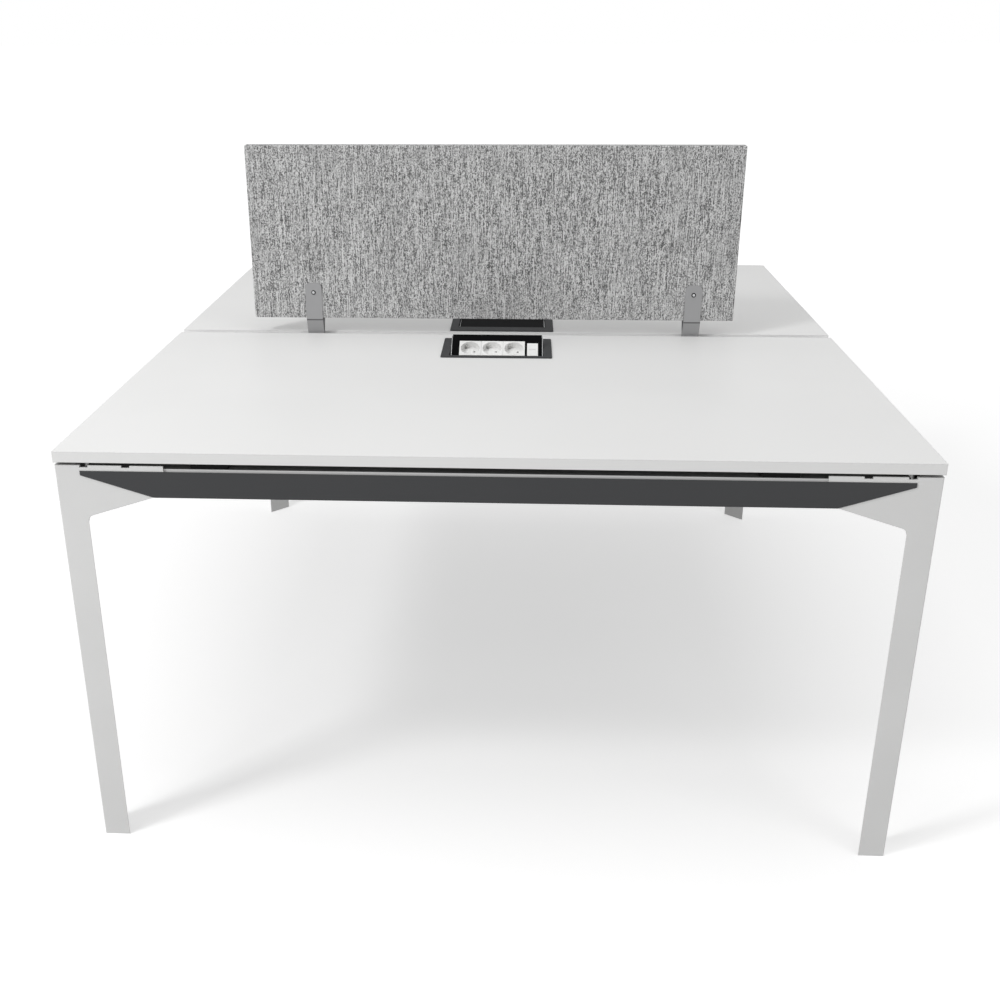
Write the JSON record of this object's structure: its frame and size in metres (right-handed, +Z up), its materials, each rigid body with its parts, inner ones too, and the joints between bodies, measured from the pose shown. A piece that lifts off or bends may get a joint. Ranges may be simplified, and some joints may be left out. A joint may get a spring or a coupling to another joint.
{
  "type": "benching desk",
  "caption": "Back-to-back office bench desk with a fabric screen over the seam, slant-gusset corner legs and a turn-over power unit in each worktop.",
  "frame": {"origin": "on the floor under the middle of the desk", "axes": "+X to the right of the user at the front, +Y away from that user, +Z up"},
  "size_m": [1.4, 1.62, 1.1255],
  "materials": {
    "laminate": "fine-grained white laminate",
    "white_steel": "satin light powder coat",
    "dark_steel": "satin dark grey powder coat",
    "grey_steel": "satin silver-grey powder coat",
    "fabric": "heather grey woven wool",
    "board": "raw particle board",
    "black_plastic": "fine matt black",
    "bezel": "satin dark grey",
    "aluminium": "satin anodised",
    "white_plastic": "smooth white",
    "rubber": "matt black",
    "zinc": "zinc plated"
  },
  "bodies": {
    "desk": {"worktop_front": "laminate", "worktop_rear": "laminate", "leg_front_left": "white_steel", "leg_front_right": "white_steel", "leg_rear_right": "white_steel", "leg_rear_left": "white_steel", "rail_front": "white_steel", "rail_right": "white_steel", "rail_rear": "white_steel", "rail_left": "white_steel", "fascia_front": "dark_steel", "fascia_right": "dark_steel", "fascia_rear": "dark_steel", "fascia_left": "dark_steel", "centre_rail_front": "dark_steel", "centre_rail_rear": "dark_steel", "rail_angle_left": "dark_steel", "rail_angle_right": "dark_steel", "pad_front_left": "rubber", "pad_front_right": "rubber", "pad_rear_left": "rubber", "pad_rear_right": "rubber", "foot_plug_front_left": "black_plastic", "foot_plug_front_right": "black_plastic", "foot_plug_rear_right": "black_plastic", "foot_plug_rear_left": "black_plastic", "screen_cover": "fabric", "screen_board": "board", "screen_bracket_front_left": "grey_steel", "screen_bracket_front_right": "grey_steel", "screen_bracket_rear_left": "grey_steel", "screen_bracket_rear_right": "grey_steel", "front_unit_bezel": "bezel", "front_unit_tub": "black_plastic", "rear_unit_bezel": "bezel", "rear_unit_tub": "black_plastic"},
    "glide_front_left": {"glide_front_left": "zinc"},
    "glide_front_right": {"glide_front_right": "zinc"},
    "glide_rear_right": {"glide_rear_right": "zinc"},
    "glide_rear_left": {"glide_rear_left": "zinc"},
    "front_turn_unit": {"front_unit_turn_body": "black_plastic", "front_unit_cover": "black_plastic", "front_unit_end_cap_left": "aluminium", "front_unit_end_cap_right": "aluminium", "front_unit_socket_1": "white_plastic", "front_unit_socket_2": "white_plastic", "front_unit_socket_3": "white_plastic", "front_unit_half_insert": "white_plastic"},
    "rear_turn_unit": {"rear_unit_turn_body": "black_plastic", "rear_unit_cover": "black_plastic", "rear_unit_end_cap_left": "aluminium", "rear_unit_end_cap_right": "aluminium", "rear_unit_socket_1": "white_plastic", "rear_unit_socket_2": "white_plastic", "rear_unit_socket_3": "white_plastic", "rear_unit_half_insert": "white_plastic"}
  },
  "joints": [
    {"name": "front_unit_turn", "type": "hinge", "parent": "desk", "child": "front_turn_unit", "pos_m": [-0.00745, -0.1405, 0.715], "axis": [1, 0, 0], "range_deg": [0, 154]},
    {"name": "rear_unit_turn", "type": "hinge", "parent": "desk", "child": "rear_turn_unit", "pos_m": [-0.001, 0.1065, 0.715], "axis": [1, 0, 0], "range_deg": [0, 154]},
    {"name": "glide_front_left_level", "type": "slide", "parent": "desk", "child": "glide_front_left", "axis": [0, 0, -1], "range_m": [0, 0.012]},
    {"name": "glide_front_right_level", "type": "slide", "parent": "desk", "child": "glide_front_right", "axis": [0, 0, -1], "range_m": [0, 0.012]},
    {"name": "glide_rear_right_level", "type": "slide", "parent": "desk", "child": "glide_rear_right", "axis": [0, 0, -1], "range_m": [0, 0.012]},
    {"name": "glide_rear_left_level", "type": "slide", "parent": "desk", "child": "glide_rear_left", "axis": [0, 0, -1], "range_m": [0, 0.012]}
  ]
}
